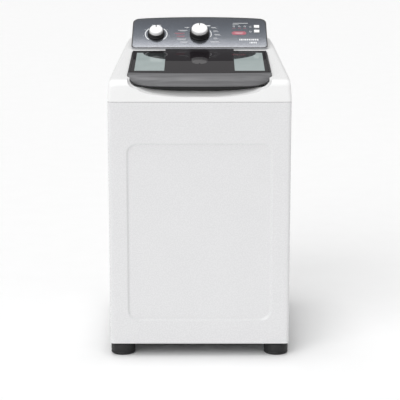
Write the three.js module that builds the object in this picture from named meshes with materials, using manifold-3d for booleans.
// Top load washing machine, built as separate pieces in millimetres.
// +Z is up, the front faces -Y, and the origin is on the floor below the middle of the machine.
import * as THREE from "three";
import { mergeVertices } from "three/addons/utils/BufferGeometryUtils.js";
import Module from "manifold-3d";

const wasm = await Module();
wasm.setup();

// ---------------------------------------------------------------- driving dimensions
const GAP = 0.3; // face to face clearance between pieces that touch
const WIDTH = 590;
const DEPTH = 640;
const FOOT_HEIGHT = 42;
const CABINET_TOP = 850; // seam between the steel cabinet and the top cover
const SHEET = 1; // steel sheet of the cabinet
const CORNER_R = 12; // vertical front corners

const FRONT = -DEPTH / 2;
const BACK = DEPTH / 2;
const SIDE = WIDTH / 2;

const COVER_WALL = 4;
const COVER_FRONT_Z = CABINET_TOP + 70; // top surface just behind the front edge
const COVER_SLOPE = 6; // degrees, rising to the back
const COVER_BACK_INSET = 41; // how far the shoulders draw in at the back, each side
const COVER_SHOULDER_R = 14;

const LID_SLOPE = 5.1;
const LID_BACK_Y = BACK - 262;
const LID_GLASS_FRONT_Y = FRONT + 58;
const LID_FRONT_Z = COVER_FRONT_Z + 15; // top of the glass at its front edge
const LID_HALF = SIDE - 64;
const LID_BULGE = 18; // the front edge bows forward by this at the middle
const LID_CORNER_R = 54;
const GLASS = 4;
const FRAME_THICK = 6;
const CENTRE_PANEL_HALF = 114;
const WINDOW_HALF = LID_HALF - 19;
const WINDOW_FRONT_Y = LID_GLASS_FRONT_Y + 33;
const WINDOW_BACK_Y = LID_BACK_Y - 32;
const WINDOW_R = 6;

const OPENING_HALF = LID_HALF - 43;
const OPENING_FRONT_Y = LID_GLASS_FRONT_Y + 30;
const OPENING_BACK_Y = LID_BACK_Y - 34;
const OPENING_R = 95;
const HINGE_Y = LID_BACK_Y + 17;
const HINGE_DROP = 12.5; // hinge axis below the lid's top at its back edge
const PIN_R = 3;
const ARM_X = 127;
const SCOOP_HALF = LID_HALF - 34; // hand recess under the handle
const SCOOP_DEPTH = 26.5;
const NOSE_FRONT_Y = FRONT + 8;
const NOSE_BOTTOM = LID_FRONT_Z - 36;
const NOSE_LIP_HALF = SCOOP_HALF - 4; // the handle narrows to this at its lip
const NOSE_SHEET = 4.2;
const LID_GAP = 3; // between the lid and the cover round it

const CONSOLE_TILT = 33; // degrees above the horizontal
const CONSOLE_HALF = SIDE - 61;
const CONSOLE_LENGTH = 165; // along the slope
const CONSOLE_Y = LID_BACK_Y + 35; // lower edge of the panel's face
const CONSOLE_RISE = 4.5; // above the lid's back edge
const PANEL_THICK = 5;

const AXIS_Y = -20; // the tub's vertical axis
const TUB_R = 256;
const TUB_WALL = 4;
const TUB_BOTTOM = 244;
const TUB_TOP = CABINET_TOP - 44;
const BASKET_R = TUB_R - 20;
const BASKET_WALL = 1.2;
const BASKET_BOTTOM = TUB_BOTTOM + 24;
const BASKET_TOP = TUB_TOP - 38;
const RING_HOLE_R = BASKET_R - 36; // mouth of the balance ring and of the tub ring
const ROD_OFFSET = 226; // suspension rods, from the tub's axis along X and along Y
const ROD_R = 3;
const LUG_Z = 336; // underside of the tub's suspension lugs
const LUG_THICK = 14;
const SPRING_R = 12;
const SPRING_WIRE_R = 2;
const SPRING_TURNS = 5;
const SPRING_LENGTH = 76;
const CUP_THICK = 6;
const SHAFT_R = 11;
const PULLEY_R = 92;
const MOTOR_PULLEY_R = 26;
const MOTOR_X = 168; // distance between the motor's axis and the tub's
const BELT_Z = 118;
const BELT_HEIGHT = 12;
const BELT_THICK = 5;
const LEVEL_KNOB_X = 84 - CONSOLE_HALF;
const KNOB_UP = 0.4 * CONSOLE_LENGTH + 7; // knob centres above the panel's lower edge, along the slope
const BUTTON_X = CONSOLE_HALF - 36;
const BUTTON_UP = [CONSOLE_LENGTH - 53, CONSOLE_LENGTH - 78];
const BUTTON_SIZE = [19, 14];
const DRAWER_HALF = 95;
const DRAWER_Z = CABINET_TOP + 18;
const DRAWER_HEIGHT = 36;
const DRAWER_LENGTH = 120;
const FOOT_R = 40;
const FOOT_X = SIDE - 41;
const FOOT_Y = BACK - 45;
const PUMP_X = -140;
const PUMP_Y = 100;
const DRAIN_X = -180;
const DRAIN_Z = 130;
const GLAND_X = 120;
const GLAND_Z = CABINET_TOP - 110;
const INLET_X = 120;
const INLET_Z = CABINET_TOP + 40;
const GLAND_R = 12;
const HOSE_R = 13;

const BELOW = CABINET_TOP - 150; // heights well clear of the lid and the cover, for cutting solids
const ABOVE = CABINET_TOP + 350;

const rad = THREE.MathUtils.degToRad;
const coverZ = (y) => COVER_FRONT_Z + (y - FRONT - 10) * Math.tan(rad(COVER_SLOPE));
const lidZ = (y) => LID_FRONT_Z + (y - LID_GLASS_FRONT_Y) * Math.tan(rad(LID_SLOPE));
const HINGE_Z = Math.round(lidZ(LID_BACK_Y) - HINGE_DROP);
const CONSOLE_Z = Math.round(lidZ(LID_BACK_Y) + CONSOLE_RISE);

// ---------------------------------------------------------------- materials
const paint = (color, roughness, metalness = 0, extra = {}) =>
  new THREE.MeshStandardMaterial({ color, roughness, metalness, ...extra });
const WHITE_STEEL = paint(0xf2f2f2, 0.35);
const WHITE_PLASTIC = paint(0xf4f4f4, 0.4);
const DARK_PLASTIC = paint(0x2c2c2f, 0.45);
const GREY_PLASTIC = paint(0x7c7c7f, 0.4, 0.3);
const PANEL_GLOSS = paint(0x4b5058, 0.15);
const BLACK_PLASTIC = paint(0x151516, 0.5);
const CLEAR_GLASS = paint(0xb6c6c4, 0.05, 0, { transparent: true, opacity: 0.4 });
const GREY_TUB = paint(0xc9cccd, 0.5);
const STAINLESS = paint(0xb9bcbf, 0.3, 1);
const ZINC_STEEL = paint(0xa4a7a9, 0.45, 0.9);
const RUBBER = paint(0x242425, 0.85);
const BOARD_GREEN = paint(0x1f5b3a, 0.6);

// ---------------------------------------------------------------- solid helpers
// A closed three.js geometry as a manifold-3d solid.
function solid(geometry) {
  const g = geometry.clone();
  g.deleteAttribute("normal");
  g.deleteAttribute("uv");
  const merged = mergeVertices(g, 1e-4);
  return new wasm.Manifold(
    new wasm.Mesh({
      numProp: 3,
      vertProperties: new Float32Array(merged.attributes.position.array),
      triVerts: new Uint32Array(merged.index.array),
    }),
  );
}

// A solid as a three.js geometry.
function geometryOf(body) {
  const m = body.getMesh();
  const g = new THREE.BufferGeometry();
  g.setAttribute("position", new THREE.BufferAttribute(new Float32Array(m.vertProperties), 3));
  g.setIndex(new THREE.BufferAttribute(new Uint32Array(m.triVerts), 1));
  return g;
}

function boxBetween([x0, y0, z0], [x1, y1, z1]) {
  return new THREE.BoxGeometry(x1 - x0, y1 - y0, z1 - z0).translate((x0 + x1) / 2, (y0 + y1) / 2,
      (z0 + z1) / 2);
}

// Upright cylinder standing on z0.
function post(r, z0, z1, x = 0, y = 0, sides = 32, topR = r) {
  return new THREE.CylinderGeometry(topR, r, z1 - z0, sides).rotateX(Math.PI / 2).translate(x, y,
      (z0 + z1) / 2);
}

// Cylinder along X between two ends.
function barX(r, x0, x1, y, z, sides = 24) {
  return new THREE.CylinderGeometry(r, r, x1 - x0, sides).rotateZ(Math.PI / 2).translate((x0 + x1) / 2, y,
      z);
}

// Cylinder along Y between two ends.
function barY(r, y0, y1, x, z, sides = 24) {
  return new THREE.CylinderGeometry(r, r, y1 - y0, sides).translate(x, (y0 + y1) / 2, z);
}

// Turned piece about the tub's axis, from a closed profile of [radius, z] pairs listed anticlockwise.
function turned(profile, segments = 48, x = 0, y = AXIS_Y) {
  const points = [...profile, profile[0]].map(([r, z]) => new THREE.Vector2(r, z));
  return new THREE.LatheGeometry(points, segments).rotateX(Math.PI / 2).translate(x, y, 0);
}

function roundedOutline(x0, y0, x1, y1, r, steps = 5) {
  const s = new THREE.Shape();
  const corners = [
    [x1 - r, y0 + r, -90],
    [x1 - r, y1 - r, 0],
    [x0 + r, y1 - r, 90],
    [x0 + r, y0 + r, 180],
  ];
  const pts = [];
  for (const [cx, cy, start] of corners)
    for (let i = 0; i <= steps; i++) {
      const a = rad(start + (90 * i) / steps);
      pts.push(new THREE.Vector2(cx + r * Math.cos(a), cy + r * Math.sin(a)));
    }
  s.setFromPoints(pts);
  return s;
}

const outline = (pts) => new THREE.Shape(pts.map(([x, y]) => new THREE.Vector2(x, y)));

// A plan outline raised from z0 to z1.
const raised = (shape, z0, z1) =>
  new THREE.ExtrudeGeometry(shape, { depth: z1 - z0, bevelEnabled: false,
      curveSegments: 10 }).translate(0, 0, z0);

// A side outline, [y, z] pairs, extruded along X.
function sideways(pts, x0, x1) {
  return new THREE.ExtrudeGeometry(outline(pts), { depth: x1 - x0, bevelEnabled: false })
    .applyMatrix4(new THREE.Matrix4().set(0, 0, 1, 0, 1, 0, 0, 0, 0, 1, 0, 0, 0, 0, 0, 1))
    .translate(x0, 0, 0);
}

// Skin through rings of points that all have the same count, closed by flat ends.
function loft(rings) {
  const n = rings[0].length;
  const index = [];
  for (let k = 0; k + 1 < rings.length; k++)
    for (let i = 0; i < n; i++) {
      const [a, b] = [k * n + i, k * n + ((i + 1) % n)];
      index.push(a, b, b + n, a, b + n, a + n);
    }
  const last = (rings.length - 1) * n;
  for (const [a, b, c] of capTriangles(rings[0])) index.push(a, c, b);
  for (const [a, b, c] of capTriangles(rings.at(-1))) index.push(last + a, last + b, last + c);
  const g = new THREE.BufferGeometry();
  g.setAttribute("position", new THREE.Float32BufferAttribute(rings.flat().flatMap((p) =>
      [p.x, p.y, p.z]), 3));
  g.setIndex(index);
  return solid(g).volume() > 0 ? g : insideOut(g);
}

// Triangles across a flat ring, wound the way the ring runs.
function capTriangles(ring) {
  const size = new THREE.Box3().setFromPoints(ring).getSize(new THREE.Vector3());
  const [u, v] = size.x <= size.y && size.x <= size.z ? ["y", "z"] : ["z", "x"];
  const flat = ring.map((p) => new THREE.Vector2(p[u], p[v]));
  const backwards = THREE.ShapeUtils.isClockWise(flat);
  return THREE.ShapeUtils.triangulateShape(flat, []).map(([a, b, c]) =>
      (backwards ? [a, c, b] : [a, b, c]));
}

function insideOut(g) {
  const index = Array.from(g.index.array);
  for (let i = 0; i < index.length; i += 3) [index[i + 1], index[i + 2]] = [index[i + 2], index[i + 1]];
  return g.clone().setIndex(index);
}

// A round tube of fixed radius along a smooth path.
function tube(points, r, steps, sides = 10) {
  const section = new THREE.Shape();
  section.setFromPoints(
    Array.from({ length: sides }, (_, i) => {
      const a = (2 * Math.PI * i) / sides;
      return new THREE.Vector2(r * Math.cos(a), r * Math.sin(a));
    }),
  );
  const path = new THREE.CatmullRomCurve3(points.map(([x, y, z]) => new THREE.Vector3(x, y, z)));
  return new THREE.ExtrudeGeometry(section, { steps, extrudePath: path, bevelEnabled: false });
}

const machine = new THREE.Group();
function add(name, shape, material, parent = machine) {
  const geometry = shape.isBufferGeometry ? shape : geometryOf(shape);
  const mesh = new THREE.Mesh(geometry, material);
  mesh.name = name;
  parent.add(mesh);
  return mesh;
}

const cut = (body, ...tools) => tools.reduce((made, t) => made.subtract(t), body);
const join = (body, ...more) => more.reduce((made, t) => made.add(t), body);

// ---------------------------------------------------------------- cabinet
const EMBOSS = { half: SIDE - 62, z0: FOOT_HEIGHT + 82, z1: CABINET_TOP - 137, r: 32, depth: 4 };

function cabinet() {
  const FLANGE = 24;
  const shell = cut(
    solid(raised(roundedOutline(-SIDE, FRONT, SIDE, BACK, CORNER_R), FOOT_HEIGHT, CABINET_TOP)),
    solid(
      raised(
        roundedOutline(-SIDE + SHEET, FRONT + SHEET, SIDE - SHEET, BACK - SHEET, CORNER_R - SHEET),
        FOOT_HEIGHT - 1,
        CABINET_TOP + 1,
      ),
    ),
    solid(
      boxBetween(
        [-SIDE + FLANGE, BACK - 20, FOOT_HEIGHT + 60],
        [SIDE - FLANGE, BACK + 1, CABINET_TOP - 60],
      ),
    ),
  );
  const panel = (grow, y0, y1) => {
    const shape = roundedOutline(
      -EMBOSS.half - grow, EMBOSS.z0 - grow, EMBOSS.half + grow, EMBOSS.z1 + grow, EMBOSS.r + grow);
    return solid(raised(shape, 0, y1 - y0).rotateX(Math.PI / 2).translate(0, y1, 0));
  };
  return shell
    .subtract(panel(0, FRONT - 1, FRONT + SHEET + 1))
    .add(cut(panel(SHEET, FRONT + 0.2, FRONT + EMBOSS.depth + SHEET),
        panel(0, FRONT - 1, FRONT + EMBOSS.depth)));
}
add("cabinet", cabinet(), WHITE_STEEL);

// Removable service panel in the back opening, with raised stiffening ribs.
function backPanel() {
  const [x, z0, z1] = [SIDE - 12, FOOT_HEIGHT + 40, CABINET_TOP - 40];
  const y = BACK - 2 * SHEET - GAP;
  const plate = solid(boxBetween([-x, y, z0], [x, y + SHEET, z1]));
  const ribs = [-150, -50, 50, 150].map((rx) =>
    solid(boxBetween([rx - 12, y - 4, z0 + 70], [rx + 12, y + 0.5, z1 - 110])));
  const port = solid(barY(GLAND_R + GAP, y - 9, BACK + 1, GLAND_X, GLAND_Z, 20));
  const drain = solid(barY(HOSE_R + GAP, y - 9, BACK + 1, DRAIN_X, DRAIN_Z, 20));
  return cut(join(plate, ...ribs), port, drain);
}
add("back_panel", backPanel(), WHITE_STEEL);

// Ring of folded steel channel that stiffens the bottom of the cabinet and carries the four feet.
function baseFrame() {
  const [x, y, z0, z1] = [SIDE - SHEET - GAP, BACK - SHEET - GAP, FOOT_HEIGHT, FOOT_HEIGHT + 26];
  const RAIL = 30;
  const WEB = 2;
  const outer = solid(raised(roundedOutline(-x, -y, x, y, CORNER_R - SHEET), z0, z1));
  const well = solid(boxBetween([-x + RAIL, -y + RAIL, z0 - 1], [x - RAIL, y - RAIL, z1 + 1]));
  const channel = cut(
    solid(raised(roundedOutline(-x + WEB, -y + WEB, x - WEB, y - WEB, CORNER_R - SHEET - WEB), z0 + WEB,
        z1 + 1)),
    solid(boxBetween([-x + RAIL - WEB, -y + RAIL - WEB, z0 - 1],
        [x - RAIL + WEB, y - RAIL + WEB, z1 + 2])));
  const plates = [];
  const holes = [];
  for (const sx of [-1, 1])
    for (const sy of [-1, 1]) {
      const [x0, x1] = [sx * (x - RAIL - 55), sx * (x - 5)].sort((a, b) => a - b);
      const [y0, y1] = [sy * (y - RAIL - 55), sy * (y - 5)].sort((a, b) => a - b);
      plates.push(solid(boxBetween([x0, y0, z0], [x1, y1, z0 + 4])));
      holes.push(solid(post(5.4, z0 - 1, z1 + 1, sx * FOOT_X, sy * FOOT_Y, 20)));
    }
  const bridge = solid(boxBetween([-x + 5, PUMP_Y - 38, z0], [x - 5, PUMP_Y + 38, z0 + 4]));
  return cut(join(cut(outer, well, channel), bridge, ...plates), ...holes);
}
add("base_frame", baseFrame(), ZINC_STEEL);

// Levelling foot: wide pad, a hexagonal collar and a threaded stud up through the base.
function foot() {
  const top = FOOT_HEIGHT - 4;
  const pad = solid(turned([[0, 0], [FOOT_R - 4, 0], [FOOT_R, 5], [FOOT_R, top - 4], [FOOT_R - 3, top],
      [0, top]], 28, 0, 0));
  const collar = solid(post(14, top - 1, FOOT_HEIGHT - GAP, 0, 0, 6));
  const stud = solid(post(5, FOOT_HEIGHT - 2, FOOT_HEIGHT + 46, 0, 0, 14));
  return join(pad, collar, stud);
}
for (const [side, sx] of [["left", -1], ["right", 1]])
  for (const [end, sy] of [["front", -1], ["rear", 1]])
    add(`foot_${end}_${side}`, foot(), RUBBER).position.set(sx * FOOT_X, sy * FOOT_Y, 0);

// ---------------------------------------------------------------- top cover
// Outline of the cover across the machine at one depth: skirt, side wall, rounded shoulder, top.
function coverSection(y, inset, bottom) {
  const edge = Math.min(y - FRONT, BACK - y);
  const roundOff = edge >= CORNER_R ? 0 : CORNER_R - Math.sqrt(CORNER_R ** 2 - (CORNER_R - edge) ** 2);
  const drop = edge >= 20 ? 0 : 16 * (1 - edge / 20) ** 2;
  const drawIn = 5 + COVER_BACK_INSET * THREE.MathUtils.clamp((y - FRONT - 50) / (DEPTH - 100), 0, 1);
  const side = SIDE - roundOff - inset;
  const shoulder = side - drawIn;
  const top = Math.min(coverZ(y), coverZ(BACK - 90)) - drop - inset;
  const knee = new THREE.Vector2(side, CABINET_TOP + 12);
  const peak = new THREE.Vector2(shoulder, top);
  const start = peak.clone().add(knee.clone().sub(peak).setLength(COVER_SHOULDER_R));
  const end = new THREE.Vector2(shoulder - COVER_SHOULDER_R, top);
  const half = [new THREE.Vector2(side, bottom), knee, ...new THREE.QuadraticBezierCurve(start, peak,
      end).getPoints(3)];
  return [...half, ...half.map((p) => new THREE.Vector2(-p.x, p.y)).reverse()].map((p) =>
      new THREE.Vector3(p.x, y, p.y));
}

function coverBody(inset, bottom) {
  const near = [0, 1.5, 4, 8, 13, 20];
  const middle = [70, 160, 260, 360, 460, 550];
  const depths = [...near, ...middle, ...near.map((d) => DEPTH - d).reverse()];
  const rings = depths.map((d) => {
    const y = THREE.MathUtils.clamp(FRONT + d, FRONT + inset, BACK - inset);
    return coverSection(y, inset, bottom);
  });
  return solid(loft(rings.filter((ring, k) => k === 0 || ring[0].y > rings[k - 1][0].y)));
}

// Plan outline of the lid, grown by a margin; its front edge bows forward between round corners.
function lidOutline(grow, back = LID_BACK_Y, front = NOSE_FRONT_Y, cornerR = LID_CORNER_R) {
  const half = LID_HALF + grow;
  const reach = LID_HALF - cornerR;
  const bow = (x) => front - grow + LID_BULGE * (x / LID_HALF) ** 2;
  const pts = [[-half + 4, back + grow]];
  const STEPS = 6;
  const corner = (s, k) => {
    const a = (Math.PI / 2) * (k / STEPS);
    return [s * (reach + (half - reach) * Math.cos(a)), bow(reach) + cornerR * (1 - Math.sin(a))];
  };
  for (let k = 0; k <= STEPS; k++) pts.push(corner(-1, k));
  for (let k = 1; k < 10; k++) pts.push([reach * (k / 5 - 1), bow(reach * (k / 5 - 1))]);
  for (let k = STEPS; k >= 0; k--) pts.push(corner(1, k));
  pts.push([half - 4, back + grow]);
  return outline(pts);
}

// A plan outline raised between two heights measured from the lid's sloping top plane.
const onLid = (shape, h0, h1) =>
  solid(raised(shape, BELOW, ABOVE)).intersect(
    solid(sideways(
      [[FRONT, lidZ(FRONT) + h0], [BACK, lidZ(BACK) + h0], [BACK, lidZ(BACK) + h1],
          [FRONT, lidZ(FRONT) + h1]],
      FRONT, BACK)));

const SEAT = -(GLASS + FRAME_THICK + 1.5); // the cover's seat below the lid's top plane
const TROUGH_BACK_Y = OPENING_FRONT_Y - COVER_WALL;

// Room for the lid in the top cover: a shallow seat with a deeper trough in front for the handle.
function lidPocket(grow, drop) {
  const seat = (y) => lidZ(y) + SEAT - drop;
  const floor = NOSE_BOTTOM - 6 - drop;
  const back = LID_BACK_Y + grow;
  const section = [
    [FRONT - 80, floor], [TROUGH_BACK_Y + drop, floor], [TROUGH_BACK_Y + drop, seat(TROUGH_BACK_Y + drop)],
    [back + 5, seat(back + 5)], [back + 5, ABOVE], [FRONT - 80, ABOVE]];
  return solid(raised(lidOutline(grow), BELOW, ABOVE)).intersect(solid(sideways(section, FRONT, BACK)));
}

// Height of the cut in the cover's front edge: a crescent below the handle, then rounded shoulders
// that rise to the top surface beside it.
function scoopEdge(x, grow) {
  const half = SCOOP_HALF + grow;
  const rim = NOSE_BOTTOM - 6.5 - grow;
  if (Math.abs(x) <= half) return rim - SCOOP_DEPTH * Math.min(1, 1.04 * Math.sqrt(1 - (x / half) ** 2));
  const u = Math.min(1, (Math.abs(x) - half) / (LID_HALF + LID_GAP + 0.5 + grow - half));
  return rim + 38 * (1 - Math.sqrt(1 - u ** 2.2));
}

// Hand recess in the front edge below the lid's handle.
function handScoop(grow) {
  const half = SCOOP_HALF + grow;
  const end = LID_HALF + LID_GAP + 0.5 + grow;
  const CRESCENT_STEPS = 18;
  const SHOULDER_STEPS = 6;
  const shoulder = Array.from({ length: SHOULDER_STEPS }, (_, k) =>
      end + ((half - end) * k) / SHOULDER_STEPS);
  const crescent = Array.from({ length: CRESCENT_STEPS + 1 }, (_, k) =>
    half * Math.sin(Math.PI * (k / CRESCENT_STEPS - 0.5)));
  const across = [...shoulder.map((x) => -x), ...crescent, ...shoulder.reverse()];
  return solid(loft(across.map((x) => {
    const z0 = scoopEdge(x, grow);
    const deep = Math.sqrt(Math.max(0, 1 - (x / SCOOP_HALF) ** 2));
    const reach = 40 + 6 * deep + grow;
    const rise = 8 + 6 * deep;
    return [
      [FRONT - 5, z0], [FRONT + reach * 0.5, z0 + rise * 0.4], [FRONT + reach, z0 + rise],
      [FRONT + reach, ABOVE], [FRONT - 5, ABOVE],
    ].map(([y, z]) => new THREE.Vector3(x, y, z));
  })));
}

const mouth = (grow, z0, z1) =>
  solid(raised(
    roundedOutline(
      -OPENING_HALF - grow, OPENING_FRONT_Y - grow, OPENING_HALF + grow, OPENING_BACK_Y + grow,
          OPENING_R + grow, 6),
    z0, z1));

function topCover() {
  const outer = coverBody(0, CABINET_TOP + GAP);
  const inlet = (grow) => solid(boxBetween(
    [INLET_X - 28 - grow, BACK - 24 - grow, INLET_Z - 24 - grow],
        [INLET_X + 28 + grow, BACK + 5, INLET_Z + 24 + grow]));
  const bosses = [-1, 1].map((s) => solid(boxBetween(
    [s * ARM_X - 14, LID_BACK_Y - 18, HINGE_Z - 13], [s * ARM_X + 14, HINGE_Y + 16, HINGE_Z + 39])));
  const cavity = cut(
    coverBody(COVER_WALL, CABINET_TOP - 5), lidPocket(LID_GAP + COVER_WALL, COVER_WALL),
        handScoop(COVER_WALL), inlet(3), ...bosses);
  const collar = mouth(COVER_WALL, CABINET_TOP + 4, ABOVE).intersect(outer);
  const slots = [-1, 1].map((s) => solid(boxBetween(
    [s * ARM_X - 7, LID_BACK_Y - 14, HINGE_Z - 9], [s * ARM_X + 7, HINGE_Y + 10, ABOVE])));
  const pinHoles = [-1, 1].map((s) => solid(barX(PIN_R + GAP, s * ARM_X - 12, s * ARM_X + 12, HINGE_Y,
      HINGE_Z, 14)));
  const drawerSlot = solid(boxBetween(
    [-DRAWER_HALF - 3, OPENING_BACK_Y - 70, DRAWER_Z - 3], [DRAWER_HALF + 3, OPENING_BACK_Y + 8,
        DRAWER_Z + DRAWER_HEIGHT + 3]));
  const port = solid(barY(14, BACK - 40, BACK - 10, INLET_X, INLET_Z, 20));
  const cableHole = solid(post(14, COVER_FRONT_Z + 20, ABOVE, 60, BACK - 120, 16));
  return cut(
    join(cut(outer, cavity), collar), lidPocket(LID_GAP, 0), handScoop(0), inlet(0),
        mouth(0, CABINET_TOP - 5, ABOVE),
    drawerSlot, port, cableHole, ...slots, ...pinHoles);
}
add("top_cover", topCover(), WHITE_PLASTIC);

// ---------------------------------------------------------------- lid
const lid = new THREE.Group();
lid.name = "lid";
machine.add(lid);
const FRAME_CORNER_R = 4;
const GLASS_INSET = 7; // the frame's rim round the glass
const glassOutline = (grow) =>
  lidOutline(grow - GLASS_INSET, LID_BACK_Y - 6, LID_GLASS_FRONT_Y - 6, FRAME_CORNER_R + GLASS_INSET);

function lidGlass() {
  return onLid(glassOutline(0), -GLASS, 0);
}
add("lid_glass", lidGlass(), CLEAR_GLASS, lid);

// Ring and centre panel under the glass, a raised rim round it and two arms back to the hinge.
function lidFrame() {
  const plate = onLid(lidOutline(0, LID_BACK_Y, LID_GLASS_FRONT_Y, FRAME_CORNER_R), -GLASS - FRAME_THICK,
      0);
  const glassBed = onLid(glassOutline(GAP), -GLASS - GAP, 50);
  const windows = [-1, 1].map((s) => {
    const [x0, x1] = [s * CENTRE_PANEL_HALF, s * WINDOW_HALF].sort((a, b) => a - b);
    return solid(raised(roundedOutline(x0, WINDOW_FRONT_Y, x1, WINDOW_BACK_Y, WINDOW_R, 3), BELOW, ABOVE));
  });
  const arms = [-1, 1].map((s) => {
    const arm = solid(barX(6.5, s * ARM_X - 5, s * ARM_X + 5, HINGE_Y, HINGE_Z, 18));
    const neck = solid(sideways(
      [[LID_BACK_Y - 12, HINGE_Z + 1], [HINGE_Y, HINGE_Z - 6], [HINGE_Y, HINGE_Z + 6],
          [LID_BACK_Y - 12, HINGE_Z + 7.5]],
      s * ARM_X - 5, s * ARM_X + 5));
    return join(arm, neck).subtract(solid(barX(PIN_R + GAP, s * ARM_X - 9, s * ARM_X + 9, HINGE_Y,
        HINGE_Z, 14)));
  });
  const ahead = solid(boxBetween([-SIDE, FRONT, BELOW], [SIDE, GLASS_FRAME_FRONT, ABOVE]));
  return cut(join(cut(plate, glassBed, ahead), ...arms), ...windows);
}
const GLASS_FRAME_FRONT = LID_GLASS_FRONT_Y + 20;
add("lid_frame", lidFrame(), DARK_PLASTIC, lid);

// Point on the middle section of the handle's nose, v running from the glass to the lip.
function noseMiddle(v) {
  let points = [
    [LID_GLASS_FRONT_Y - GAP, LID_FRONT_Z], [LID_GLASS_FRONT_Y - 17, LID_FRONT_Z - 1.5],
    [NOSE_FRONT_Y + 16, LID_FRONT_Z - 8.5], [NOSE_FRONT_Y + 5.5, NOSE_BOTTOM + 16],
        [NOSE_FRONT_Y + 0.5, NOSE_BOTTOM],
  ].map(([y, z]) => new THREE.Vector2(y, z));
  while (points.length > 1) points = points.slice(1).map((p, i) => points[i].clone().lerp(p, v));
  return points[0];
}

// Half-width of the nose: full at the glass, drawn in towards the lip by round lower corners.
function noseHalf(v) {
  const u = Math.max(0, (v - 0.12) / 0.88);
  return NOSE_LIP_HALF + (LID_HALF - NOSE_LIP_HALF) * Math.sqrt(Math.max(0, 1 - u ** 2.4));
}

// Point of the nose's skin, t from -1 to 1 across it, at a depth below its outer face.
function nosePoint(v, t, depth) {
  const middle = noseMiddle(v);
  const step = noseMiddle(Math.min(1, v + 0.01)).sub(noseMiddle(Math.max(0, v - 0.01))).normalize();
  const x = noseHalf(v) * t;
  const turn = Math.max(0, Math.abs(t) - 0.8) / 0.2;
  const y = middle.x + LID_BULGE * (x / LID_HALF) ** 2 + 10 * v * turn ** 2;
  return new THREE.Vector3(x, y - depth * step.y, middle.y + 1.5 * turn ** 2 + depth * step.x);
}

// Curved sheet of the nose, as a skin through one closed ring for each step from the glass to the lip.
function noseSheet() {
  const ROWS = 10;
  const COLUMNS = 28;
  const across = Array.from({ length: COLUMNS + 1 }, (_, k) =>
      Math.sin((Math.PI / 2) * ((2 * k) / COLUMNS - 1)));
  return solid(loft(Array.from({ length: ROWS + 1 }, (_, k) => [
    ...across.map((t) => nosePoint(k / ROWS, t, 0)),
    ...[...across].reverse().map((t) => nosePoint(k / ROWS, t, NOSE_SHEET)),
  ])));
}

// Handle across the lid's front: a curved nose with a lip that fingers hook under, a bed for the
// glass behind it and a wall that closes its hollow.
function lidHandle() {
  const y0 = GLASS_FRAME_FRONT - GAP;
  const bed = onLid(lidOutline(0, LID_BACK_Y, LID_GLASS_FRONT_Y - 4, FRAME_CORNER_R),
      -GLASS - FRAME_THICK, 0)
    .intersect(solid(boxBetween([-SIDE, FRONT, BELOW], [SIDE, y0, ABOVE])));
  const wallHalf = NOSE_LIP_HALF - 4;
  const wall = solid(boxBetween([-wallHalf, y0 - 4, NOSE_BOTTOM],
      [wallHalf, y0, lidZ(y0) - GLASS - FRAME_THICK + 1]));
  return cut(join(bed, noseSheet(), wall), onLid(glassOutline(GAP), -GLASS - GAP, 60));
}
add("lid_handle", lidHandle(), GREY_PLASTIC, lid);
for (const [side, s] of [["left", -1], ["right", 1]])
  add(`hinge_pin_${side}`, barX(PIN_R, s * ARM_X - 11.5, s * ARM_X + 11.5, HINGE_Y, HINGE_Z, 14),
      ZINC_STEEL, lid);

function hingeCover() {
  const [y0, y1, half] = [LID_BACK_Y + 4, CONSOLE_Y - 2, ARM_X - 10];
  const top = lidZ(LID_BACK_Y) - 1;
  const CHAMFER = 4; // the lid swings past this corner
  return sideways(
    [[y0, coverZ(y0) + GAP], [y1, coverZ(y1) + GAP], [y1, top + 2], [y0 + CHAMFER, top],
        [y0, coverZ(y0) + GAP + 1]], -half, half);
}
add("hinge_cover", hingeCover(), DARK_PLASTIC);

// ---------------------------------------------------------------- console
const consoleFace = new THREE.Group();
consoleFace.name = "console_face";
consoleFace.position.set(0, CONSOLE_Y, CONSOLE_Z);
consoleFace.rotation.x = rad(CONSOLE_TILT);
machine.add(consoleFace);

const PANEL_HOLE_R = 7;
const SWITCH_DEPTH = 16;

// Fascia outline: straight lower edge, arched upper edge, rounded corners.
function fasciaOutline(grow) {
  const half = CONSOLE_HALF + grow;
  const low = -grow;
  const high = CONSOLE_LENGTH + grow;
  const [R0, R1] = [12, 24];
  const arch = (x) => high - 10 * (x / CONSOLE_HALF) ** 2;
  const arc = (cx, cy, r, a0) => [0, 1, 2, 3].map((k) => {
    const a = rad(a0 + 30 * k);
    return [cx + r * Math.cos(a), cy + r * Math.sin(a)];
  });
  const top = [0.8, 0.4, 0, -0.4, -0.8].map((t) => [t * (half - R1), arch(t * (half - R1))]);
  return outline([
    ...arc(half - R0, low + R0, R0, -90), ...arc(half - 2 - R1, arch(half) - R1 + 1, R1, 0),
    ...top, ...arc(-half + 2 + R1, arch(half) - R1 + 1, R1, 90), ...arc(-half + R0, low + R0, R0, 180)]);
}

function consolePanel() {
  const plate = solid(raised(fasciaOutline(0), -PANEL_THICK, 0));
  const knobHoles = [LEVEL_KNOB_X, 0].map((x) => solid(post(PANEL_HOLE_R, -20, 5, x, KNOB_UP, 20)));
  const [w, h] = BUTTON_SIZE;
  const buttonHoles = BUTTON_UP.map((v) => solid(boxBetween(
    [BUTTON_X - w / 2 - 0.4, v - h / 2 - 0.4, -20], [BUTTON_X + w / 2 + 0.4, v + h / 2 + 0.4, 5])));
  return cut(plate, ...knobHoles, ...buttonHoles);
}
add("console_panel", consolePanel(), PANEL_GLOSS, consoleFace);

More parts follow.
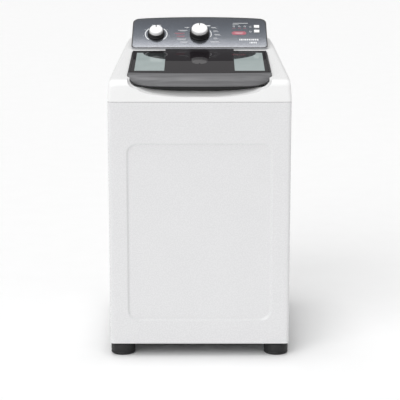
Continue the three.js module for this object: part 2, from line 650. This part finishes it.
// Hollow body behind the fascia, open towards it.
function consoleHousing() {
  const t = rad(CONSOLE_TILT);
  const under = PANEL_THICK + GAP;
  const at = (v, w) => [CONSOLE_Y + v * Math.cos(t) - w * Math.sin(t),
      CONSOLE_Z + v * Math.sin(t) + w * Math.cos(t)];
  const front0 = at(8, -under);
  const crown = at(CONSOLE_LENGTH - 14, -under);
  const behind = (dy, dz) => [crown[0] + dy, crown[1] + dz];
  const base = (y) => Math.min(coverZ(y), coverZ(BACK - 90)) + GAP;
  const half = CONSOLE_HALF - 6;
  const wall = 6;
  const rear = crown[0] + 71.5;
  const body = sideways(
    [front0, [front0[0], base(front0[0])], [BACK - 90, base(BACK - 90)], [rear, base(rear)],
      behind(63.5, -44), behind(39.5, -18), behind(13.5, -4), crown],
    -half, half);
  const low = CONSOLE_Y + 57;
  const inner = sideways(
    [at(12, 5), at(14, -under - 5), [low, base(low) + 3], [rear - 12, base(BACK - 90) + 4],
      behind(53.5, -46), behind(33.5, -26), at(CONSOLE_LENGTH - 24, -under - 6),
          at(CONSOLE_LENGTH - 24, 5)],
    wall - half, half - wall);
  return cut(solid(body), solid(inner), solid(post(14, COVER_FRONT_Z + 20, COVER_FRONT_Z + 80, 60,
      BACK - 120, 16)));
}
add("console_housing", consoleHousing(), BLACK_PLASTIC);

function controlBoard() {
  const z1 = -PANEL_THICK - 14;
  const [x0, x1] = [CONSOLE_HALF - 124, CONSOLE_HALF - 18];
  const [y0, y1] = [KNOB_UP - 7, CONSOLE_LENGTH - 27];
  const board = solid(boxBetween([x0, y0, z1 - 2], [x1, y1, z1]));
  const parts = [[x0 + 16, y0 + 12, 9], [x0 + 40, y1 - 18, 12],
      [x0 + 26, (y0 + y1) / 2 - 2, 6]].map(([x, y, h]) =>
    solid(boxBetween([x - 8, y - 6, z1 - 2 - h], [x + 8, y + 6, z1 - 1])));
  return join(board, ...parts);
}
add("control_board", controlBoard(), BOARD_GREEN, consoleFace);

const STEM_R = 4;
function rotarySwitch(x, r) {
  const z1 = -PANEL_THICK - GAP;
  const can = solid(post(r, z1 - SWITCH_DEPTH, z1, x, KNOB_UP, 8));
  return can.subtract(solid(post(STEM_R + GAP, z1 - 12, z1 + 1, x, KNOB_UP, 14)));
}
add("level_switch", rotarySwitch(LEVEL_KNOB_X, 20), WHITE_PLASTIC, consoleFace);
add("program_switch", rotarySwitch(0, 24), WHITE_PLASTIC, consoleFace);

// Knob in two pieces: ribbed skirt with its stem, and a lighter grip cap with a pointer rib.
function knobSkirt(r, height) {
  const skirt = solid(turned([[0, 0.6], [r, 0.6], [r - 1.5, height], [0, height]], 32, 0, 0));
  return join(skirt, solid(post(STEM_R, -PANEL_THICK - 11, 2, 0, 0, 14)));
}

function knobCap(r, z0, height) {
  const cap = solid(turned([[0, z0 + GAP], [r, z0 + GAP], [r - 1, z0 + height - 2], [r - 3, z0 + height],
      [0, z0 + height]], 32, 0, 0));
  return join(cap, solid(boxBetween([-1.5, r - 11, z0 + height - 1], [1.5, r - 4, z0 + height + 0.8])));
}
for (const [name, x, skirtR, capR, height] of [["level", LEVEL_KNOB_X, 29.5, 23.5, 24],
    ["program", 0, 34.5, 28, 29]]) {
  add(`${name}_knob`, knobSkirt(skirtR, height - 12), BLACK_PLASTIC, consoleFace).position.set(x, KNOB_UP,
      0);
  add(`${name}_knob_cap`, knobCap(capR, height - 12, 12), WHITE_PLASTIC, consoleFace).position.set(x,
      KNOB_UP, 0);
}

function pushButton() {
  const [w, h] = BUTTON_SIZE;
  const key = solid(boxBetween([-w / 2, -h / 2, -PANEL_THICK - 2], [w / 2, h / 2, 3]));
  return join(key, solid(boxBetween([-w / 2 - 2.5, -h / 2 - 2.5, -PANEL_THICK - 3],
      [w / 2 + 2.5, h / 2 + 2.5, -PANEL_THICK - 0.6])));
}
for (const [k, v] of BUTTON_UP.entries())
  add(["power_button", "start_button"][k], pushButton(), WHITE_PLASTIC,
      consoleFace).position.set(BUTTON_X, v, 0);

// ---------------------------------------------------------------- water inlet and dispenser
const DISPENSER_Y = OPENING_BACK_Y + COVER_WALL + 4 + GAP;
const FILL_SHIFT = 60; // sideways from the valve to the dispenser's spigot
const DISPENSER_BACK = DISPENSER_Y + DRAWER_LENGTH + 12;

function dispenserHousing() {
  const [half, z0, z1] = [DRAWER_HALF + 6, DRAWER_Z - 6, DRAWER_Z + DRAWER_HEIGHT + 8];
  const box = solid(boxBetween([-half, DISPENSER_Y, z0], [half, DISPENSER_BACK, z1]));
  const hollow = solid(boxBetween(
    [-DRAWER_HALF - 1.5, DISPENSER_Y - 5, DRAWER_Z - 1.5], [DRAWER_HALF + 1.5, DISPENSER_BACK - 4,
        DRAWER_Z + DRAWER_HEIGHT + 3]));
  const spigot = solid(barY(8, DISPENSER_BACK - 2, DISPENSER_BACK + 14, INLET_X - FILL_SHIFT, INLET_Z, 14));
  const bore = solid(barY(5, DISPENSER_BACK - 10, DISPENSER_BACK + 20, INLET_X - FILL_SHIFT, INLET_Z, 14));
  return cut(join(box, spigot), hollow, bore);
}
add("dispenser_housing", dispenserHousing(), WHITE_PLASTIC);

function dispenserDrawer() {
  const y0 = OPENING_BACK_Y - 12;
  const y1 = DISPENSER_Y + DRAWER_LENGTH;
  const tray = solid(boxBetween([-DRAWER_HALF, y0, DRAWER_Z],
      [DRAWER_HALF, y1, DRAWER_Z + DRAWER_HEIGHT - 4]));
  const wells = [[-DRAWER_HALF + 3, -2], [2, DRAWER_HALF - 3]].map(([x0, x1]) =>
    solid(boxBetween([x0, y0 + 14, DRAWER_Z + 3], [x1, y1 - 3, DRAWER_Z + 60])));
  const front = solid(boxBetween([-DRAWER_HALF, y0, DRAWER_Z - 1],
      [DRAWER_HALF, y0 + 3.5, DRAWER_Z + DRAWER_HEIGHT]));
  const grip = solid(boxBetween([-26, y0 - 1, DRAWER_Z + 4], [26, y0 + 10, DRAWER_Z + 20]));
  return cut(join(tray, front), ...wells, grip);
}
add("dispenser_drawer", dispenserDrawer(), GREY_TUB);

function inletValve() {
  const wallY = BACK - 24 - 3;
  const body = solid(boxBetween([INLET_X - 20, wallY - 52, INLET_Z - 16],
      [INLET_X + 20, wallY - GAP, INLET_Z + 16]));
  const thread = solid(barY(13, wallY - 10, BACK - 4, INLET_X, INLET_Z, 20));
  const bore = solid(barY(9, wallY - 4, BACK, INLET_X, INLET_Z, 16));
  const coil = solid(post(12, INLET_Z + 10, INLET_Z + 42, INLET_X, wallY - 32, 16));
  const outlet = solid(barX(8, INLET_X - 30, INLET_X - 18, wallY - 32, INLET_Z, 14));
  const outletBore = solid(barX(5, INLET_X - 40, INLET_X - 24, wallY - 32, INLET_Z, 14));
  return cut(join(body, thread, coil, outlet), bore, outletBore);
}
add("inlet_valve", inletValve(), WHITE_PLASTIC);

// Short hose bent from the valve's outlet to the dispenser's spigot, pushed over both.
function fillHose() {
  const valveY = BACK - 27 - 32;
  const [x, z] = [INLET_X - FILL_SHIFT, INLET_Z];
  const end = INLET_X - 30 - GAP;
  const path = [[end, valveY, z], [end - 6, valveY, z], [x + 9, valveY - 6, z], [x + 1, valveY - 18, z],
    [x, valveY - 32, z], [x, DISPENSER_BACK + 14 + GAP, z]];
  return tube(path, 7, 14, 12);
}
add("fill_hose", fillHose(), RUBBER);

// ---------------------------------------------------------------- suspension
const BRACKET_Z = CABINET_TOP - 38;
function cornerBracket(sx, sy) {
  const rodX = ROD_OFFSET;
  const rodY = sy * (AXIS_Y + sy * ROD_OFFSET);
  const [x, y] = [SIDE - SHEET - GAP, BACK - SHEET - GAP];
  const leg = x + y - rodX - rodY + 22;
  const plate = outline([[x, y - CORNER_R], [x - CORNER_R, y], [x - leg, y], [x, y - leg]]);
  const body = cut(
    join(solid(raised(plate, BRACKET_Z, BRACKET_Z + 4)), solid(boxBetween([x - leg + 30, y - 3,
        BRACKET_Z], [x - CORNER_R, y, BRACKET_Z + 28]))),
    solid(post(ROD_R + 0.5, BRACKET_Z - 5, BRACKET_Z + 9, rodX, rodY, 14)));
  return body.scale([sx, sy, 1]);
}
function suspensionRod() {
  const z0 = LUG_Z - SPRING_LENGTH - 2 * GAP;
  return turned([
    [0, z0 - CUP_THICK - 6], [5, z0 - CUP_THICK - 6], [5, z0 - CUP_THICK], [SPRING_R + 5, z0 - CUP_THICK],
        [SPRING_R + 5, z0],
    [ROD_R, z0], [ROD_R, BRACKET_Z + 4 + GAP], [9, BRACKET_Z + 4 + GAP], [9, BRACKET_Z + 9],
        [5, BRACKET_Z + 13], [0, BRACKET_Z + 13]], 14, 0, 0);
}
function suspensionSpring() {
  const pts = [];
  const PER_TURN = 8;
  const rise = SPRING_LENGTH - 2 * SPRING_WIRE_R;
  for (let i = 0; i <= SPRING_TURNS * PER_TURN; i++) {
    const a = (2 * Math.PI * i) / PER_TURN;
    pts.push([SPRING_R * Math.cos(a), SPRING_R * Math.sin(a),
        SPRING_WIRE_R + (rise * i) / (SPRING_TURNS * PER_TURN)]);
  }
  return tube(pts, SPRING_WIRE_R, SPRING_TURNS * 8, 6);
}
for (const [side, sx] of [["left", -1], ["right", 1]])
  for (const [end, sy] of [["front", -1], ["rear", 1]]) {
    const at = [sx * ROD_OFFSET, AXIS_Y + sy * ROD_OFFSET];
    add(`corner_bracket_${end}_${side}`, cornerBracket(sx, sy), ZINC_STEEL);
    add(`suspension_rod_${end}_${side}`, suspensionRod(), ZINC_STEEL).position.set(...at, 0);
    add(`suspension_spring_${end}_${side}`, suspensionSpring(), ZINC_STEEL).position.set(...at,
        LUG_Z - SPRING_LENGTH - GAP);
  }

// ---------------------------------------------------------------- tub
const SEAL_R = 36;
const SUMP = [PUMP_X, PUMP_Y];
function outerTub() {
  const wall = solid(turned([
    [SEAL_R + GAP, TUB_BOTTOM], [TUB_R - 14, TUB_BOTTOM], [TUB_R, TUB_BOTTOM + 14], [TUB_R, TUB_TOP],
    [TUB_R - TUB_WALL, TUB_TOP], [TUB_R - TUB_WALL, TUB_BOTTOM + 16], [TUB_R - 16, TUB_BOTTOM + TUB_WALL],
    [SEAL_R + GAP, TUB_BOTTOM + TUB_WALL]], 40));
  const lugs = [];
  const holes = [];
  for (const sx of [-1, 1])
    for (const sy of [-1, 1]) {
      const arm = solid(boxBetween([TUB_R - 20, -20, LUG_Z],
          [ROD_OFFSET * Math.SQRT2 + 16, 20, LUG_Z + LUG_THICK]));
      lugs.push(arm.rotate([0, 0, THREE.MathUtils.radToDeg(Math.atan2(sy, sx))]).translate([0, AXIS_Y, 0]));
      holes.push(solid(post(ROD_R + 1.5, LUG_Z - 5, LUG_Z + LUG_THICK + 5, sx * ROD_OFFSET,
          AXIS_Y + sy * ROD_OFFSET, 14)));
    }
  const hollow = solid(post(TUB_R - TUB_WALL - 0.5, LUG_Z - 20, LUG_Z + LUG_THICK + 20, 0, AXIS_Y, 40));
  const sump = solid(post(24, TUB_BOTTOM - 34, TUB_BOTTOM + 2, ...SUMP, 20));
  const bore = solid(post(20, TUB_BOTTOM - 40, TUB_BOTTOM + 9, ...SUMP, 20));
  return cut(join(wall, ...lugs.map((lug) => lug.subtract(hollow)), sump), bore, ...holes);
}
const tub = new THREE.Group();
tub.name = "tub";
machine.add(tub);
add("outer_tub", outerTub(), GREY_TUB, tub);

add("tub_ring", turned([
  [TUB_R - 2, TUB_TOP + GAP], [TUB_R + 3, TUB_TOP + GAP], [TUB_R + 3, TUB_TOP + 8],
      [TUB_R - 6, TUB_TOP + 20],
  [RING_HOLE_R + 6, TUB_TOP + 24], [RING_HOLE_R + 4, TUB_TOP + 32], [RING_HOLE_R, TUB_TOP + 32],
      [RING_HOLE_R + 2, TUB_TOP + 20],
  [TUB_R - 8, TUB_TOP + 15], [TUB_R - 5, TUB_TOP + 4]], 40), WHITE_PLASTIC, tub);

const BRACKET_TOP = TUB_BOTTOM - GAP;
function tubBracket() {
  const plate = solid(raised(roundedOutline(-100, AXIS_Y - 88, MOTOR_X + 72, AXIS_Y + 88, 24, 3),
      BRACKET_TOP - 5, BRACKET_TOP));
  const windowCut = solid(post(SEAL_R + GAP, BRACKET_TOP - 9, BRACKET_TOP + 3, 0, AXIS_Y, 32));
  return plate.subtract(windowCut).subtract(solid(post(30, BRACKET_TOP - 9, BRACKET_TOP + 3, PUMP_X,
      PUMP_Y, 20)));
}
add("tub_bracket", tubBracket(), ZINC_STEEL, tub);

const TUBE_R = 17;
const GEAR_TOP = BRACKET_TOP - 5 - GAP;
add("gearcase", turned([
  [SHAFT_R + GAP, 158], [40, 158], [62, 166], [62, GEAR_TOP], [SEAL_R, GEAR_TOP], [SEAL_R, TUB_BOTTOM + 8],
  [TUBE_R + GAP, TUB_BOTTOM + 8], [TUBE_R + GAP, 196], [SHAFT_R + GAP, 196]], 36), ZINC_STEEL, tub);
add("shaft_seal", turned([
  [TUBE_R + GAP, TUB_BOTTOM + 8 + GAP], [SEAL_R - 4, TUB_BOTTOM + 8 + GAP], [SEAL_R - 8, TUB_BOTTOM + 15],
      [TUBE_R + GAP, TUB_BOTTOM + 15]], 28), RUBBER, tub);

function motor() {
  const can = solid(turned([[7, 138], [50, 138], [56, 146], [56, 226], [48, GEAR_TOP], [7, GEAR_TOP]], 28,
      MOTOR_X, AXIS_Y));
  return join(can, solid(boxBetween([MOTOR_X + 40, AXIS_Y - 20, 170], [MOTOR_X + 68, AXIS_Y + 20, 210])));
}
add("motor", motor(), ZINC_STEEL, tub);

// Belt round two discs: the outer loop less the inner one.
function beltLoop(grow) {
  const [ra, rb] = [PULLEY_R - BELT_THICK + GAP + grow, MOTOR_PULLEY_R - BELT_THICK + GAP + grow];
  const open = Math.acos((ra - rb) / MOTOR_X);
  const arc = (cx, r, a0, a1, n) => Array.from({ length: n + 1 }, (_, i) => {
    const a = a0 + ((a1 - a0) * i) / n;
    return [cx + r * Math.cos(a), AXIS_Y + r * Math.sin(a)];
  });
  return outline([...arc(0, ra, open, 2 * Math.PI - open, 28), ...arc(MOTOR_X, rb, -open, open, 12)]);
}
function driveBelt() {
  const z0 = BELT_Z - BELT_HEIGHT / 2;
  return solid(raised(beltLoop(BELT_THICK - 1), z0, z0 + BELT_HEIGHT))
    .subtract(solid(raised(beltLoop(0), z0 - 1, z0 + BELT_HEIGHT + 1)));
}
add("drive_belt", driveBelt(), RUBBER, tub);

function grooved(r, bore, hubR, hubTop, x, segments) {
  const [z0, z1] = [BELT_Z - BELT_HEIGHT / 2 - GAP, BELT_Z + BELT_HEIGHT / 2 + GAP];
  return turned([
    [bore, z0 - 3], [r, z0 - 3], [r, z0], [r - BELT_THICK, z0], [r - BELT_THICK, z1], [r, z1], [r, z1 + 3],
    [hubR, z1 + 3], [hubR, hubTop], [bore, hubTop]], segments, x, AXIS_Y);
}
add("drive_pulley", grooved(PULLEY_R, SHAFT_R + GAP, 24, 150, 0, 36), ZINC_STEEL, tub);
function motorPulley() {
  return join(solid(grooved(MOTOR_PULLEY_R, 4, 12, 136, MOTOR_X, 20)),
      solid(post(6, 120, 170, MOTOR_X, AXIS_Y, 16)));
}
add("motor_pulley", motorPulley(), ZINC_STEEL, tub);

// ---------------------------------------------------------------- basket and agitator
const basketGroup = new THREE.Group();
basketGroup.name = "basket_group";
tub.add(basketGroup);
const HUB_TOP = BASKET_BOTTOM + 22;
function basket() {
  const shell = solid(turned([
    [30, BASKET_BOTTOM], [BASKET_R - 20, BASKET_BOTTOM], [BASKET_R, BASKET_BOTTOM + 20],
        [BASKET_R, BASKET_TOP],
    [BASKET_R - BASKET_WALL, BASKET_TOP], [BASKET_R - BASKET_WALL, BASKET_BOTTOM + 21],
        [BASKET_R - 21, BASKET_BOTTOM + BASKET_WALL],
    [30, BASKET_BOTTOM + BASKET_WALL]], 40));
  return shell;
}
add("basket", basket(), STAINLESS, basketGroup);

// Hub below the basket's floor with the spin tube that runs down through the seal.
add("basket_hub", turned([
  [SHAFT_R + GAP, 199], [TUBE_R, 199], [TUBE_R, TUB_BOTTOM + 18], [110, BASKET_BOTTOM - 6],
      [110, BASKET_BOTTOM - GAP],
  [30 - GAP, BASKET_BOTTOM - GAP], [30 - GAP, BASKET_BOTTOM + 8], [SHAFT_R + GAP, BASKET_BOTTOM + 8]],
      36), ZINC_STEEL, basketGroup);
add("balance_ring", turned([
  [RING_HOLE_R + 6, BASKET_TOP + GAP], [BASKET_R + 2, BASKET_TOP + GAP], [BASKET_R + 4, BASKET_TOP + 24],
  [BASKET_R - 6, BASKET_TOP + 30], [RING_HOLE_R + 10, BASKET_TOP + 30],
      [RING_HOLE_R + 4, BASKET_TOP + 24]], 40), WHITE_PLASTIC, basketGroup);

const agitatorGroup = new THREE.Group();
agitatorGroup.name = "agitator_group";
tub.add(agitatorGroup);
const AGITATOR_Z = BASKET_BOTTOM + 10;
const SHAFT_TOP = 460;
function agitator() {
  const body = solid(turned([
    [SHAFT_R + GAP, AGITATOR_Z], [20, AGITATOR_Z], [20, SHAFT_TOP - 8], [40, SHAFT_TOP - 8],
        [44, AGITATOR_Z + 110],
    [60, AGITATOR_Z + 48], [106, AGITATOR_Z + 18], [146, AGITATOR_Z + 4], [146, AGITATOR_Z],
        [150, AGITATOR_Z], [152, AGITATOR_Z + 8], [110, AGITATOR_Z + 22], [64, AGITATOR_Z + 50],
    [48, AGITATOR_Z + 110], [44, SHAFT_TOP + 10], [0, SHAFT_TOP + 10], [0, SHAFT_TOP + GAP],
        [SHAFT_R + GAP, SHAFT_TOP + GAP]], 40));
  const fin = solid(sideways([[46, AGITATOR_Z + 46], [106, AGITATOR_Z + 20], [142, AGITATOR_Z + 6],
      [140, AGITATOR_Z + 24], [84, AGITATOR_Z + 56], [64, SHAFT_TOP - 20], [46, SHAFT_TOP - 5],
      [42, SHAFT_TOP - 5]], -4, 4));
  const fins = [0, 1, 2, 3].map((k) => fin.rotate([0, 0, 90 * k]).translate([0, AXIS_Y, 0]));
  return join(body, ...fins);
}
add("agitator", agitator(), WHITE_PLASTIC, agitatorGroup);
add("agitator_cap", turned([
  [0, SHAFT_TOP + 10 + GAP], [42, SHAFT_TOP + 10 + GAP], [42, SHAFT_TOP + 22], [30, SHAFT_TOP + 34],
      [0, SHAFT_TOP + 38]], 32), GREY_PLASTIC, agitatorGroup);
add("drive_shaft", post(SHAFT_R, 104, SHAFT_TOP, 0, AXIS_Y, 24), ZINC_STEEL, agitatorGroup);

// ---------------------------------------------------------------- drain and mains fittings
const PUMP_TOP = 120;
function drainPump() {
  const z0 = FOOT_HEIGHT + 4 + GAP;
  const body = solid(boxBetween([PUMP_X - 34, PUMP_Y - 34, z0], [PUMP_X + 34, PUMP_Y + 34, z0 + 44]));
  const neck = solid(post(24, z0 + 40, PUMP_TOP, ...SUMP, 20));
  const bore = solid(post(20, z0 + 30, PUMP_TOP + 5, ...SUMP, 20));
  const coil = solid(barX(24, PUMP_X - 90, PUMP_X - 30, PUMP_Y, z0 + 25, 20));
  const outlet = solid(barY(14, PUMP_Y + 30, PUMP_Y + 60, PUMP_X, z0 + 22, 16));
  const outletBore = solid(barY(10, PUMP_Y + 20, PUMP_Y + 65, PUMP_X, z0 + 22, 16));
  return cut(join(body, neck, coil, outlet), bore, outletBore);
}
add("drain_pump", drainPump(), BLACK_PLASTIC);

// Ribbed bellows from the pump's neck up to the tub's outlet.
function sumpHose() {
  const [z0, z1] = [PUMP_TOP + GAP, TUB_BOTTOM - 34 - GAP];
  const FOLDS = 6;
  const pitch = (z1 - z0) / FOLDS;
  const outside = [];
  for (let k = 0; k < FOLDS; k++) outside.push([24, z0 + k * pitch], [30, z0 + (k + 0.5) * pitch]);
  outside.push([24, z1]);
  const inside = outside.map(([r, z]) => [r - 3, z]).reverse();
  return turned([...outside, ...inside], 16, ...SUMP);
}
add("sump_hose", sumpHose(), RUBBER);

function drainHose() {
  const z = FOOT_HEIGHT + 4 + GAP + 22;
  const path = [[PUMP_X, PUMP_Y + 60 + GAP, z], [PUMP_X, PUMP_Y + 78, z],
      [PUMP_X - 3, PUMP_Y + 100, z + 7], [PUMP_X - 24, PUMP_Y + 140, z + 34],
    [DRAIN_X, BACK - 50, DRAIN_Z - 2], [DRAIN_X, BACK - 24, DRAIN_Z], [DRAIN_X, BACK - 1, DRAIN_Z]];
  return cut(solid(tube(path, HOSE_R, 16, 10)), solid(tube(path, HOSE_R - 3, 16, 10)));
}
add("drain_hose", drainHose(), GREY_TUB);

// Strain relief bush in the back panel with a through hole.
function cordGland() {
  const y = BACK - 2 * SHEET - GAP;
  const bush = solid(barY(GLAND_R, y - 14, BACK - 0.5, GLAND_X, GLAND_Z, 20));
  const flange = solid(barY(GLAND_R + 5, y + SHEET + GAP, BACK, GLAND_X, GLAND_Z, 24));
  return cut(join(bush, flange), solid(barY(5, y - 20, BACK + 5, GLAND_X, GLAND_Z, 16)));
}
add("cord_gland", cordGland(), BLACK_PLASTIC);

export default machine;
